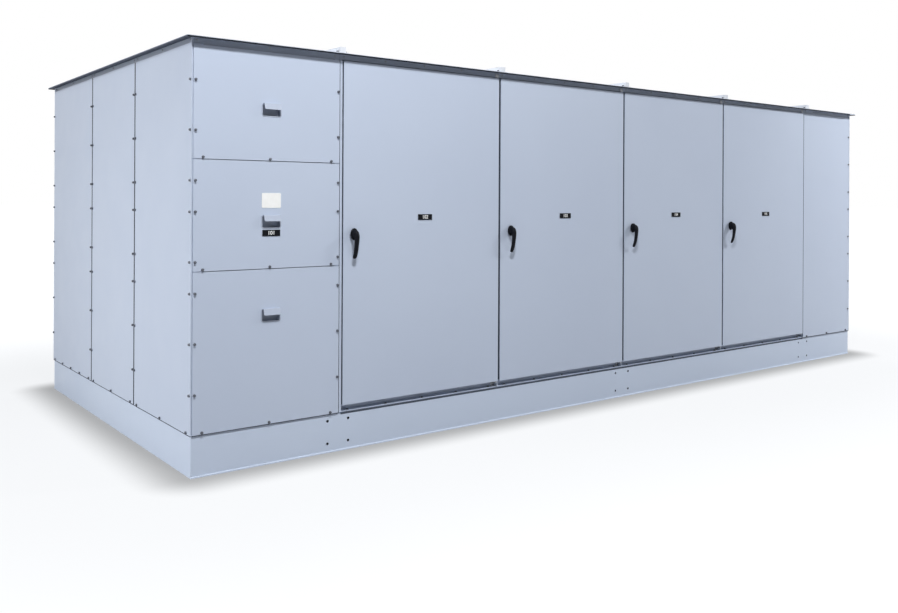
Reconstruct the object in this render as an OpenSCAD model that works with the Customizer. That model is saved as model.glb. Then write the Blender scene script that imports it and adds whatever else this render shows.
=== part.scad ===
// Outdoor metal-enclosed switchgear line-up: a control section with three bolted covers, four door
// sections and a closed end section on one welded base, under a sheet roof with seam caps.
// Millimetres, +Z up, the front faces -Y. The origin is at the centre of the overall box, on the ground.

/* [Sections] */
// Width of the control section at the left end
control_w = 889; // [700:1:1500]
// Width of each door section, from joint to joint
section_w = 1219; // [900:1:1500]
// Width of the closed section at the right end
end_w = 794; // [500:1:1500]
// Depth of the enclosure over its front and rear panels
body_d = 2788; // [1800:1:4000]
// Height from the base to the top edge of the doors
front_h = 2052; // [1700:1:2500]

/* [Base] */
// Height of the base rails
base_h = 219; // [190:1:350]
// Plate thickness of the base rails
rail_t = 6; // [4:0.5:12]
// Width of the base rails' flanges
rail_flange_w = 60; // [40:1:100]
// Width of a cross rail under a section joint
cross_rail_w = 80; // [50:1:100]
// Radius of a bolt hole at a shipping joint
joint_hole_r = 8; // [5:0.5:12]
// Spacing of the joint holes along the rail
joint_hole_dx = 138; // [125:1:200]
// Spacing of the joint holes up the rail
joint_hole_dz = 130; // [60:1:140]
// Height of the joint holes' centre above the middle of the rail
joint_hole_rise = 8; // [0:0.5:10]

/* [Sheet metal] */
// Thickness of the panels, doors, walls and roof
sheet_t = 3; // [2:0.5:4]
// How far a bolted panel stands out from the frame and the base
panel_proud = 6; // [5:0.5:12]
// Width of the folded hem round the back of a bolted panel
hem_w = 18; // [12:1:40]
// Gap between neighbouring bolted covers
seam_gap = 4; // [2:0.5:8]
// Gap between neighbouring panels at the ends and the rear
panel_gap = 10; // [6:0.5:12]
// Gap between the base and the bolted panels
foot_gap = 6; // [3:0.5:10]
// How far the panels reach up over the header rails
panel_lap = 2; // [2:0.5:12]
// Width of the grooved strip of frame that shows between the covers and the first door
strip_w = 15; // [12:0.5:25]
// Width of the groove beside that strip
groove_w = 8; // [6:0.5:8]
// Width of the gap that is left at the last door's hinges
hinge_gap = 8; // [0:0.5:15]

/* [Control covers] */
// Height of the lower control cover, with its seam
lower_cover_h = 860; // [500:1:1000]
// Height of the middle control cover, with its seam
middle_cover_h = 593; // [400:1:700]

/* [Cover pulls] */
// Width of the finger hole in a cover
pull_w = 112; // [90:1:160]
// Height of the finger hole in a cover
pull_h = 66; // [50:1:90]
// Depth of the finger cup behind the cover's face
pull_d = 32; // [20:1:60]
// How far the hood of a pull stands out
pull_out = 26; // [20:0.5:40]
// How far the hood's lower edge leans out
pull_lean = 10; // [0:0.5:12]
// Height of the hood's front plate
pull_hood_h = 34; // [20:1:40]
// How far the hood stops short of the hole at each side
pull_hood_inset = 5; // [2:0.5:10]
// Pulls to the right of the covers' centre line
pull_shift = 8; // [0:1:60]
// Height of the lower cover's finger pull above the middle of its cover
lower_pull_z = 172; // [-150:0.5:250]
// Height of the middle cover's finger pull above the middle of its cover
middle_pull_z = -37.5; // [-150:0.5:250]
// Height of the upper cover's finger pull above the middle of its cover
upper_pull_z = -20.5; // [-150:0.5:250]

/* [End panels] */
// Width of the front panel at each end, with its seam
front_panel_w = 899; // [500:1:1200]
// Width of the middle panel at each end, with its seam
middle_panel_w = 882; // [500:1:1000]

/* [Frame posts] */
// Width of a post
post_w = 60; // [50:1:90]
// Depth of a post
post_d = 50; // [40:1:90]
// How far the door posts lie behind the front face
post_set = 41; // [41:0.5:60]
// Height of the header rails
header_h = 31; // [25:1:60]
// Width of the header rails' flanges
header_flange_w = 72; // [60:1:100]

/* [Doors] */
// Gap between neighbouring doors
door_gap = 18; // [17:0.5:24]
// How far the doors stand out past the bolted panels
door_proud = 5; // [4:0.5:14]
// Depth of a door's folded edges
door_d = 38; // [30:0.5:42]
// Height of the doors' bottom edge above the base
door_rise = 45; // [35:1:80]
// Width of the flange folded in round a door's back
door_flange_w = 20; // [12:1:40]
// How far the frame reaches behind a door's top and bottom edges
door_lap = 32; // [20:1:60]
// Height of the folded foot along the bottom of a door sill
sill_foot_h = 6; // [6:0.5:14]
// Width of a stiffener behind a door
stiffener_w = 60; // [40:1:100]
// Depth of a stiffener behind a door
stiffener_d = 22; // [15:1:25]

/* [Hinges] */
// Radius of a hinge pin
pin_r = 5; // [3:0.5:6]
// Hinge axis from the door's right edge
pin_in = 12; // [9:0.5:14]
// Hinge axis behind the door's front face
pin_back = 10; // [9:0.5:12]
// How far a pin reaches into the door
pin_reach = 18; // [8:1:40]
// Plate thickness of a hinge bracket
bracket_t = 4; // [3:0.5:5]
// Width of a hinge bracket
bracket_w = 30; // [24:1:30]

/* [Handles] */
// Height of the handle's shaft above the base
handle_z = 1041; // [800:1:1300]
// Handle's shaft from the joint at the section's left
handle_in = 86; // [75:1:150]
// How far the handle stands out from the door
handle_out = 66; // [45:1:80]
// Length of the lever below the shaft
lever_len = 145; // [110:1:220]
// Width of the handle's boss
boss_w = 44; // [36:1:60]
// Height of the boss above and below the shaft
boss_rise = 36; // [30:1:50]
// Depth of the boss
boss_d = 24; // [15:1:30]
// Width of the lever's grip
grip_w = 21; // [16:1:30]
// Thickness of the lever's grip
grip_t = 14; // [10:1:20]
// Radius of the handle's shaft
shaft_r = 9; // [5:0.5:14]

/* [Roof] */
// Roof edge beyond the panels
roof_overhang = 36; // [20:1:80]
// Height of the roof's folded edge
roof_lip_h = 6; // [6:1:15]
// Width of a seam cap over its flanges
cap_w = 70; // [56:1:120]
// Width of a seam cap's crown
cap_crown_w = 38; // [24:1:44]
// Height of a seam cap
cap_h = 33; // [30:1:60]

/* [Hidden] */
DOORS = 4;
SECTIONS = DOORS + 2;
BOLTED_JOINTS = [1, 3, 5];
HEADER_JOINTS = [1, DOORS + 1];
STIFFENERS = 2;
$fn = 64;

// Clearances
overrun = 1;
turn_clear = 0.1;
seat_clear = 0.3;
door_clear = 5.5;
floor_seam = 2;
header_seam = 2;

// Small sizes of the pieces
pull_corner_r = 10;
pull_rim_w = 4;
pull_sheet_t = 1.5;
hood_corner_r = 8;
upstand_h = 24;
upstand_gap = 4;
lip_w = 12;
panel_groove_d = 24;
foot_set = 5;
floor_set = 20;
sill_end_w = 11;
stiffener_end = 30;
collar_r = 9;
cam_r = 18;
cam_t = 4;

// Boss of a handle: radius of its lower end as a share of its width, and its bevel
boss_low_share = 0.38;
boss_bevel = 6;

// Middle line of a lever from inside its boss to its tip, as shares of its reach out and of its length down,
// with the half width and half thickness there as shares of the grip
LEVER_RINGS = 28;
LEVER_SIDES = 16;
lever_shares = [[0.2, -0.05, 0.85, 0.95], [0.64, -0.09, 0.78, 0.9], [0.9, 0.03, 0.64, 0.64],
                [0.83, 0.28, 0.53, 0.5], [0.73, 0.54, 0.52, 0.5], [0.59, 0.77, 0.52, 0.48],
                [0.43, 0.92, 0.48, 0.45], [0.35, 0.99, 0.26, 0.2]];
lever_step_share = 0.01;
grip_round_share = 0.7;

// Overall box
body_w = control_w + DOORS * section_w + end_w;
left_x = -body_w / 2;
right_x = body_w / 2;
front_y = -(body_d + roof_overhang - door_proud - handle_out) / 2;
rear_y = front_y + body_d;

// Levels
floor_z = base_h + sheet_t;
door_z0 = base_h + door_rise;
door_z1 = base_h + front_h;
post_z1 = door_z1 + door_clear;
roof_z = post_z1 + header_h;
panel_z0 = base_h + foot_gap;
panel_z1 = post_z1 + panel_lap;

// Front planes, from the outside inwards
door_y = front_y - door_proud;
frame_y = front_y + panel_proud;
post_y = front_y + post_set;
post_back_y = post_y + post_d;
rear_frame_y = rear_y - panel_proud;
rear_post_y = rear_frame_y - post_d;

paint = [0.72, 0.77, 0.84];
base_paint = [0.69, 0.73, 0.80];
black = [0.06, 0.06, 0.07];
zinc = [0.75, 0.76, 0.78];

// Line between two sections, counted from the left end
function joint_x(i) = left_x + (i == 0 ? 0 : control_w + (min(i, DOORS + 1) - 1) * section_w
                                             + (i == SECTIONS ? end_w : 0));
function door_x0(k) = joint_x(k) + door_gap / 2 + (k == 1 ? strip_w : 0);
function door_x1(k) = joint_x(k + 1) - door_gap / 2 - (k == DOORS ? hinge_gap : 0);

// Base and header rings

// Long rail of a ring, its web at the front, its flanges stopped short for the end rails' webs
module long_rail(inset, z0, h, t, flange) {
  x0 = left_x + inset;
  length = body_w - 2 * inset;
  translate([x0, front_y + inset, z0]) {
    cube([length, t, h]);
    for (z = [0, h - t]) translate([t, 0, z]) cube([length - 2 * t, flange, t]);
  }
}

// End rail of a ring, its web at the left, fitted between the long rails
module end_rail(inset, z0, h, t, flange) {
  translate([left_x + inset, front_y + inset, z0]) {
    translate([0, t, 0]) cube([t, body_d - 2 * inset - 2 * t, h]);
    for (z = [0, h - t]) translate([0, flange, z]) cube([flange, body_d - 2 * inset - 2 * flange, t]);
  }
}

module to_rear() translate([0, front_y + rear_y, 0]) mirror([0, 1, 0]) children();
module to_right() mirror([1, 0, 0]) children();

module joint_holes() {
  for (i = BOLTED_JOINTS, dx = [-1, 1], dz = [-1, 1])
    translate([joint_x(i) + dx * joint_hole_dx / 2, frame_y - overrun,
               joint_hole_rise + (base_h + dz * joint_hole_dz) / 2])
      rotate([-90, 0, 0]) cylinder(r = joint_hole_r, h = rail_t + 2 * overrun);
}

module drilled_rail() {
  difference() {
    long_rail(panel_proud, 0, base_h, rail_t, rail_flange_w);
    joint_holes();
  }
}

module base_front_rail() color(base_paint) drilled_rail();
module base_rear_rail() color(base_paint) to_rear() drilled_rail();
module base_left_rail() color(base_paint) end_rail(panel_proud, 0, base_h, rail_t, rail_flange_w);
module base_right_rail() color(base_paint) to_right() end_rail(panel_proud, 0, base_h, rail_t, rail_flange_w);

module base_cross_rails() color(base_paint) {
  y0 = frame_y + rail_flange_w;
  length = rear_frame_y - rail_flange_w - y0;
  for (i = [1 : SECTIONS - 1]) translate([joint_x(i) - cross_rail_w / 2, y0, 0])
    difference() {
      cube([cross_rail_w, length, base_h]);
      translate([rail_t, -overrun, rail_t])
        cube([cross_rail_w - 2 * rail_t, length + 2 * overrun, base_h - 2 * rail_t]);
    }
}

module floor_plates() color(base_paint) {
  inset = panel_proud + floor_set;
  for (i = [0 : SECTIONS - 1]) {
    x0 = i == 0 ? left_x + inset : joint_x(i) + floor_seam / 2;
    x1 = i == SECTIONS - 1 ? right_x - inset : joint_x(i + 1) - floor_seam / 2;
    translate([x0, front_y + inset, base_h]) cube([x1 - x0, body_d - 2 * inset, sheet_t]);
  }
}

// Header over the front, in one length for the doors and one for the covers at each side of them, which
// has a deeper web behind the top edge of its cover
module front_header() color(paint) {
  web_z = door_z1 - hem_w;
  for (span = [[left_x + panel_proud + post_w, joint_x(1) - post_w / 2],
               [joint_x(DOORS + 1) + post_w / 2, right_x - panel_proud - post_w]])
    translate([span[0] + header_seam, frame_y, web_z])
      cube([span[1] - span[0] - 2 * header_seam, sheet_t, post_z1 - web_z]);
  difference() {
    long_rail(panel_proud, post_z1, header_h, sheet_t, header_flange_w);
    for (i = HEADER_JOINTS) translate([joint_x(i) - header_seam / 2, front_y, post_z1 - overrun])
      cube([header_seam, panel_proud + header_flange_w + overrun, header_h + 2 * overrun]);
  }
}
module rear_header() color(paint) to_rear() front_header();
module left_header() color(paint) end_rail(panel_proud, post_z1, header_h, sheet_t, header_flange_w);
module right_header() color(paint) to_right() left_header();

// Frame

// Hollow post on the floor plates, with its plan drawn by the child
module post_up() translate([0, 0, floor_z]) linear_extrude(post_z1 - floor_z) children();

module tube_plan(x0, y0, w, d) {
  translate([x0, y0]) difference() {
    square([w, d]);
    translate([sheet_t, sheet_t]) square([w - 2 * sheet_t, d - 2 * sheet_t]);
  }
}

// Post behind a panel seam: a tube of width w and depth d with a groove along the middle of its front
module grooved_plan(w, d) {
  t = sheet_t;
  a = (w - panel_gap) / 2;
  b = (w + panel_gap) / 2;
  g = panel_groove_d;
  difference() {
    polygon([[0, 0], [a, 0], [a, g], [b, g], [b, 0], [w, 0], [w, d], [0, d]]);
    polygon([[t, t], [a - t, t], [a - t, g + t], [b + t, g + t], [b + t, t], [w - t, t], [w - t, d - t],
             [t, d - t]]);
  }
}

// Post between the covers and the first door: its left part comes forward to the covers, and past a groove
// a narrow strip of it shows beside the door
module strip_plan() {
  half = post_w / 2;
  t = sheet_t;
  a = -seam_gap / 2;
  b = a + groove_w;
  g = frame_y + panel_groove_d;
  difference() {
    polygon([[-half, frame_y], [a, frame_y], [a, g], [b, g], [b, frame_y], [strip_w, frame_y],
             [strip_w, post_y], [half, post_y], [half, post_back_y], [-half, post_back_y]]);
    polygon([[t - half, frame_y + t], [a - t, frame_y + t], [a - t, g + t], [b + t, g + t], [b + t, frame_y + t],
             [strip_w - t, frame_y + t], [strip_w - t, post_y + t], [half - t, post_y + t],
             [half - t, post_back_y - t], [t - half, post_back_y - t]]);
  }
}

// Post between the last door and the end cover: its right part comes forward to the cover
module step_plan() {
  half = post_w / 2;
  t = sheet_t;
  difference() {
    polygon([[0, frame_y], [half, frame_y], [half, post_back_y], [-half, post_back_y], [-half, post_y],
             [0, post_y]]);
    polygon([[t, frame_y + t], [half - t, frame_y + t], [half - t, post_back_y - t],
             [t - half, post_back_y - t], [t - half, post_y + t], [t, post_y + t]]);
  }
}

module front_posts() color(paint) {
  for (x = [left_x + panel_proud, right_x - panel_proud - post_w])
    post_up() tube_plan(x, frame_y, post_w, post_back_y - frame_y);
  for (i = [2 : DOORS]) post_up() tube_plan(joint_x(i) - post_w / 2, post_y, post_w, post_d);
  post_up() translate([joint_x(1), 0]) strip_plan();
  post_up() translate([joint_x(DOORS + 1), 0]) step_plan();
}

module rear_posts() color(paint) {
  for (x = [left_x + panel_proud, right_x - panel_proud - post_w])
    post_up() tube_plan(x, rear_post_y, post_w, post_d);
  for (i = [1 : SECTIONS - 1])
    post_up() translate([joint_x(i) + post_w / 2, rear_frame_y]) rotate(180) grooved_plan(post_w, post_d);
}

module left_posts() {
  for (w = [front_panel_w, front_panel_w + middle_panel_w])
    post_up() translate([left_x + panel_proud, front_y + w + post_w / 2]) rotate(-90)
      grooved_plan(post_w, post_d);
}
module end_posts() color(paint) {
  left_posts();
  to_right() left_posts();
}

module section_walls() color(paint) {
  for (i = [1 : SECTIONS - 1]) translate([joint_x(i) - sheet_t / 2, post_back_y, floor_z])
    cube([sheet_t, rear_post_y - post_back_y, post_z1 - floor_z]);
}

// Child profile, drawn in [depth, height], swept along X from x0 to x1
module along_x(x0, x1) translate([x0, 0, 0]) rotate([90, 0, 90]) linear_extrude(x1 - x0) children();

// Sill under each door: a folded foot on the floor plates in front of the posts, and a face between them,
// with an upright end plate where two sills meet
module door_sills() color(paint) {
  t = sheet_t;
  foot_y = frame_y + foot_set;
  foot_z = floor_z + sill_foot_h;
  depth = post_y - foot_y;
  for (i = [2 : DOORS]) translate([joint_x(i), foot_y, foot_z - t]) difference() {
    translate([-sill_end_w / 2, 0, 0]) cube([sill_end_w, depth, door_z0 - door_clear - foot_z + t]);
    translate([-seam_gap / 2, -overrun, -overrun]) cube([seam_gap, depth + 2 * overrun, t + overrun]);
  }
  for (k = [1 : DOORS]) {
    along_x(joint_x(k) + (k == 1 ? strip_w : 0) + seam_gap / 2, joint_x(k + 1) - seam_gap / 2)
      polygon([[foot_y, floor_z], [foot_y + t, floor_z], [foot_y + t, foot_z - t], [post_y, foot_z - t],
               [post_y, foot_z], [foot_y, foot_z]]);
    along_x(joint_x(k) + post_w / 2, joint_x(k + 1) - post_w / 2)
      polygon([[post_y - t, foot_z - t], [post_y + t, foot_z - t], [post_y + t, door_z0 + door_lap],
               [post_y, door_z0 + door_lap], [post_y, foot_z], [post_y - t, foot_z]]);
  }
}

module door_heads() color(paint) {
  for (k = [1 : DOORS]) {
    x0 = joint_x(k) + post_w / 2;
    z0 = door_z1 - door_lap;
    translate([x0, post_y, z0]) cube([joint_x(k + 1) - post_w / 2 - x0, sheet_t, post_z1 - z0]);
  }
}

// Roof

// Sheet over one section with a hem folded under its outer edges and an upstand at each seam
module roof(i) color(paint) {
  first = i == 1;
  last = i == SECTIONS;
  x0 = first ? left_x - roof_overhang : joint_x(i - 1) + upstand_gap / 2;
  x1 = last ? right_x + roof_overhang : joint_x(i) - upstand_gap / 2;
  y0 = front_y - roof_overhang;
  y1 = rear_y + roof_overhang;
  top_z = roof_z + sheet_t;
  fold = sheet_t + upstand_gap;
  translate([x0, y0, roof_z]) cube([x1 - x0, y1 - y0, sheet_t]);
  translate([x0, y0, top_z - roof_lip_h]) {
    for (y = [0, y1 - y0 - lip_w]) translate([0, y, 0]) cube([x1 - x0, lip_w, roof_lip_h]);
    if (first) cube([lip_w, y1 - y0, roof_lip_h]);
    if (last) translate([x1 - x0 - lip_w, 0, 0]) cube([lip_w, y1 - y0, roof_lip_h]);
  }
  if (!first) translate([x0, y0 + fold, roof_z]) cube([sheet_t, y1 - y0 - 2 * fold, sheet_t + upstand_h]);
  if (!last) translate([x1 - sheet_t, y0 + fold, roof_z]) cube([sheet_t, y1 - y0 - 2 * fold, sheet_t + upstand_h]);
}

// Hat-shaped cap over the upstands of each roof seam, closed at both ends
module roof_caps() color(paint) {
  t = sheet_t;
  length = body_d + 2 * roof_overhang;
  for (i = [1 : SECTIONS - 1]) translate([joint_x(i), front_y - roof_overhang, roof_z + t]) {
    translate([-cap_w / 2, 0, 0]) cube([(cap_w - cap_crown_w) / 2, length, t]);
    translate([cap_crown_w / 2, 0, 0]) cube([(cap_w - cap_crown_w) / 2, length, t]);
    translate([-cap_crown_w / 2, 0, 0]) difference() {
      cube([cap_crown_w, length, cap_h]);
      translate([t, t, -overrun]) cube([cap_crown_w - 2 * t, length - 2 * t, cap_h - t + overrun]);
    }
  }
}

// Bolted panels

// Sheet with a hem folded round its back, its face at the front of the box [w, panel_proud, h]
module hemmed_sheet(w, h) {
  difference() {
    cube([w, panel_proud, h]);
    translate([hem_w, sheet_t, hem_w]) cube([w - 2 * hem_w, panel_proud, h - 2 * hem_w]);
  }
}

function cover_x0() = left_x + panel_proud + seam_gap;
function cover_w() = joint_x(1) - seam_gap / 2 - cover_x0();
function pull_x() = cover_x0() + cover_w() / 2 + pull_shift;

// Rounded outline of a finger hole, grown all round by the margin
module pull_outline(margin) {
  w = pull_w + 2 * margin;
  h = pull_h + 2 * margin;
  r = pull_corner_r + margin;
  translate([-w / 2 + r, -h / 2]) square([w - 2 * r, h]);
  translate([-w / 2, -h / 2 + r]) square([w, h - 2 * r]);
  for (x = [-1, 1], z = [-1, 1]) translate([x * (w / 2 - r), z * (h / 2 - r)]) circle(r);
}

// Child outline, drawn as seen from the front, pushed back from the plane y by the depth
module pushed_back(y, depth) translate([0, y + depth, 0]) rotate([90, 0, 0]) linear_extrude(depth) children();

// Lower and upper edge of each control cover, from the bottom up
function cover_edges() = let (middle_z = base_h + lower_cover_h, upper_z = middle_z + middle_cover_h)
  [[panel_z0, middle_z - seam_gap / 2], [middle_z + seam_gap / 2, upper_z - seam_gap / 2],
   [upper_z + seam_gap / 2, door_z1]];
function pull_z(n) = let (edges = cover_edges()[n], lifts = [lower_pull_z, middle_pull_z, upper_pull_z])
  (edges[0] + edges[1]) / 2 + lifts[n];

module control_cover(n) color(paint) {
  edges = cover_edges()[n];
  difference() {
    translate([cover_x0(), front_y, edges[0]]) hemmed_sheet(cover_w(), edges[1] - edges[0]);
    translate([pull_x(), 0, pull_z(n)])
      pushed_back(front_y - overrun, panel_proud + 2 * overrun) pull_outline(0);
  }
}

module lower_cover() control_cover(0);
module middle_cover() control_cover(1);
module upper_cover() control_cover(2);

// Finger cup through a cover's hole, with a rim on the cover and a hood over its upper part
module cover_pull(n) color(paint) translate([pull_x(), 0, pull_z(n)]) {
  t = pull_sheet_t;
  r = hood_corner_r;
  hood_w = pull_w - 2 * pull_hood_inset;
  hood_top = pull_h / 2 + pull_rim_w;
  difference() {
    union() {
      pushed_back(front_y - t, t) pull_outline(pull_rim_w);
      pushed_back(front_y - t, pull_d + t) pull_outline(-seat_clear);
    }
    pushed_back(front_y - t - overrun, pull_d + overrun) pull_outline(-seat_clear - t);
  }
  // Root of the hood, run into the straight part of the rim
  root_w = pull_w - 2 * pull_corner_r;
  along_x(-root_w / 2, root_w / 2) translate([front_y - 3 * t / 2, hood_top - t]) square(t);
  hood_low = hood_top - pull_hood_h;
  top_y = front_y - pull_out + pull_lean;
  low_y = front_y - pull_out;
  intersection() {
    along_x(-hood_w / 2, hood_w / 2)
      polygon([[front_y - t, hood_top], [top_y, hood_top], [low_y, hood_low], [low_y + t, hood_low],
               [top_y + t, hood_top - t], [front_y - t, hood_top - t]]);
    translate([0, 0, hood_low]) pushed_back(low_y - overrun, pull_out + overrun) {
      translate([-hood_w / 2, r]) square([hood_w, pull_hood_h]);
      translate([r - hood_w / 2, 0]) square([hood_w - 2 * r, r]);
      for (x = [-1, 1]) translate([x * (hood_w / 2 - r), r]) circle(r);
    }
  }
}

module lower_pull() cover_pull(0);
module middle_pull() cover_pull(1);
module upper_pull() cover_pull(2);

module end_cover() color(paint) {
  x0 = joint_x(DOORS + 1);
  translate([x0, front_y, panel_z0]) hemmed_sheet(right_x - panel_proud - seam_gap - x0, door_z1 - panel_z0);
}

// Panel at the left end between two distances back from the front
module left_panel(d0, d1) color(paint)
  translate([left_x, front_y + d1, panel_z0]) rotate(-90) hemmed_sheet(d1 - d0, panel_z1 - panel_z0);

function end_seams() = [0, front_panel_w, front_panel_w + middle_panel_w, body_d];
module end_panel(n) left_panel(end_seams()[n - 1] + (n == 1 ? 0 : panel_gap / 2),
                               end_seams()[n] - (n == 3 ? 0 : panel_gap / 2));

module rear_panels() color(paint) {
  for (i = [0 : SECTIONS - 1]) {
    x0 = i == 0 ? left_x + panel_proud + seam_gap : joint_x(i) + panel_gap / 2;
    x1 = i == SECTIONS - 1 ? right_x - panel_proud - seam_gap : joint_x(i + 1) - panel_gap / 2;
    translate([x1, rear_y, panel_z0]) rotate(180) hemmed_sheet(x1 - x0, panel_z1 - panel_z0);
  }
}

// Doors

function handle_x(k) = joint_x(k) + handle_in;

// Upright channel welded to the inside of a door of height h, open towards its sheet
module stiffener(x, h) {
  t = sheet_t;
  length = h - 2 * stiffener_end;
  translate([x - stiffener_w / 2, t, stiffener_end]) difference() {
    cube([stiffener_w, stiffener_d, length]);
    translate([t, -overrun, -overrun]) cube([stiffener_w - 2 * t, stiffener_d - t + overrun, length + 2 * overrun]);
  }
}

// Folded pan with a flange round its back, bored for its two hinge pins and its handle's shaft
module door(k) color(paint) {
  w = door_x1(k) - door_x0(k);
  h = door_z1 - door_z0;
  t = sheet_t;
  f = door_flange_w;
  difference() {
    translate([door_x0(k), door_y, door_z0]) {
      difference() {
        cube([w, door_d, h]);
        translate([t, t, t]) cube([w - 2 * t, door_d - 2 * t, h - 2 * t]);
        translate([f, t, f]) cube([w - 2 * f, door_d, h - 2 * f]);
      }
      for (i = [1 : STIFFENERS]) stiffener(w * i / (STIFFENERS + 1), h);
    }
    translate([door_x1(k) - pin_in, door_y + pin_back, door_z0 - overrun])
      cylinder(r = pin_r + turn_clear, h = h + 2 * overrun);
    translate([handle_x(k), door_y + t + overrun, base_h + handle_z])
      rotate([90, 0, 0]) cylinder(r = shaft_r + turn_clear, h = t + 2 * overrun);
  }
}

// Lug round a hinge pin at the origin, widening back to the full bracket at the depth
module lug_plan(depth) {
  intersection() {
    circle(collar_r);
    translate([-collar_r, -collar_r]) square([2 * collar_r, collar_r + min(collar_r, depth)]);
  }
  polygon([[-collar_r, 0], [collar_r, 0], [bracket_w / 2, depth], [-bracket_w / 2, depth]]);
}

// Bottom and top brackets at each door's right edge, each with the pin that the door turns on
module hinge_brackets() color(zinc) {
  pin_y = door_y + pin_back;
  foot_z = floor_z + sill_foot_h;
  low_z = door_z0 - door_clear - bracket_t;
  for (k = [1 : DOORS]) translate([door_x1(k) - pin_in, 0, 0]) {
    translate([0, pin_y, low_z]) linear_extrude(bracket_t) lug_plan(post_y - pin_y);
    translate([-bracket_w / 2, post_y - bracket_t, foot_z]) cube([bracket_w, bracket_t, low_z - foot_z]);
    translate([0, pin_y, low_z + bracket_t]) {
      cylinder(r = collar_r, h = door_clear - seat_clear);
      cylinder(r = pin_r, h = door_clear + pin_reach);
    }
    translate([0, pin_y, post_z1]) linear_extrude(bracket_t) lug_plan(frame_y - pin_y);
    translate([-bracket_w / 2, frame_y - bracket_t, post_z1]) cube([bracket_w, bracket_t, header_h - roof_lip_h]);
    translate([0, pin_y, door_z1 - pin_reach]) cylinder(r = pin_r, h = post_z1 - door_z1 + pin_reach);
  }
}

// Handles

// Point at a share s of a smooth line through the points p
function spline(p, s) = let (n = len(p) - 1, i = min(floor(s * n), n - 1), u = s * n - i,
                             a = p[max(i - 1, 0)], b = p[i], c = p[i + 1], d = p[min(i + 2, n)])
  (2 * b + (c - a) * u + (2 * a - 5 * b + 4 * c - d) * pow(u, 2) + (3 * b - a - 3 * c + d) * pow(u, 3)) / 2;

// Reach out, drop, half width and half thickness of the lever at a share s of its line
function lever_at(s) = let (p = spline(lever_shares, s))
  [p[0] * handle_out, p[1] * lever_len, p[2] * grip_w, p[3] * grip_t];
function rounded(v) = sign(v) * pow(abs(v), grip_round_share);

// Ring of points round the lever, square to its line
function lever_ring(s) = let (c = lever_at(s), t = lever_at(min(s + lever_step_share, 1))
                                                   - lever_at(max(s - lever_step_share, 0)),
                              n = [t[1], t[0]] / norm([t[0], t[1]]))
  [for (j = [0 : LEVER_SIDES - 1]) let (a = 360 * j / LEVER_SIDES, off = c[3] * rounded(sin(a)))
    [c[2] * rounded(cos(a)), -c[0] - off * n[0], -c[1] + off * n[1]]];

// Lever lofted through its rings, with its reach set to handle_out
module lever() {
  points = [for (i = [0 : LEVER_RINGS]) each lever_ring(i / LEVER_RINGS)];
  reach = -min([for (p = points) p[1]]);
  sides = [for (i = [0 : LEVER_RINGS - 1], j = [0 : LEVER_SIDES - 1]) let (m = (j + 1) % LEVER_SIDES)
            [i * LEVER_SIDES + j, (i + 1) * LEVER_SIDES + j, (i + 1) * LEVER_SIDES + m, i * LEVER_SIDES + m]];
  ends = [[for (j = [0 : LEVER_SIDES - 1]) j], [for (j = [LEVER_SIDES - 1 : -1 : 0]) LEVER_RINGS * LEVER_SIDES + j]];
  polyhedron([for (p = points) [p[0], p[1] * handle_out / reach, p[2]]], concat(sides, ends));
}

// Egg-shaped boss with a bevelled face
module boss() {
  low_r = boss_w * boss_low_share;
  hull() for (bevel = [0, boss_bevel]) {
    h = boss_d - boss_bevel + bevel - seat_clear;
    translate([0, boss_rise - boss_w / 2]) cylinder(r = boss_w / 2 - bevel, h = h, $fn = 32);
    translate([0, low_r - boss_rise]) cylinder(r = low_r - bevel, h = h, $fn = 32);
  }
}

module handle(k) color(black) translate([handle_x(k), door_y, base_h + handle_z]) {
  translate([0, -seat_clear, 0]) rotate([90, 0, 0]) boss();
  lever();
  translate([0, sheet_t + seat_clear + cam_t, 0]) rotate([90, 0, 0]) {
    cylinder(r = shaft_r, h = sheet_t + 2 * seat_clear + cam_t + overrun);
    cylinder(r = cam_r, h = cam_t);
  }
}

base_front_rail();
base_rear_rail();
base_left_rail();
base_right_rail();
base_cross_rails();
floor_plates();
front_posts();
rear_posts();
end_posts();
section_walls();
door_sills();
door_heads();
front_header();
rear_header();
left_header();
right_header();
for (i = [1 : SECTIONS]) roof(i);
roof_caps();
lower_cover();
middle_cover();
upper_cover();
lower_pull();
middle_pull();
upper_pull();
end_cover();
for (n = [1 : 3]) end_panel(n);
for (n = [1 : 3]) to_right() end_panel(n);
rear_panels();
for (k = [1 : DOORS]) door(k);
for (k = [1 : DOORS]) handle(k);
hinge_brackets();
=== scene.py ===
"""Looks of an outdoor switchgear line-up: finishes of every piece, with bolts, plates, seals and handles.

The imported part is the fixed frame. Lengths are metres, +Z is up and the front of the line-up faces -Y.
"""

import logging
import math
from dataclasses import dataclass
from enum import Enum
from typing import Callable, Iterable, Sequence

import bmesh
import bpy
from mathutils import Matrix, Vector

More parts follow.
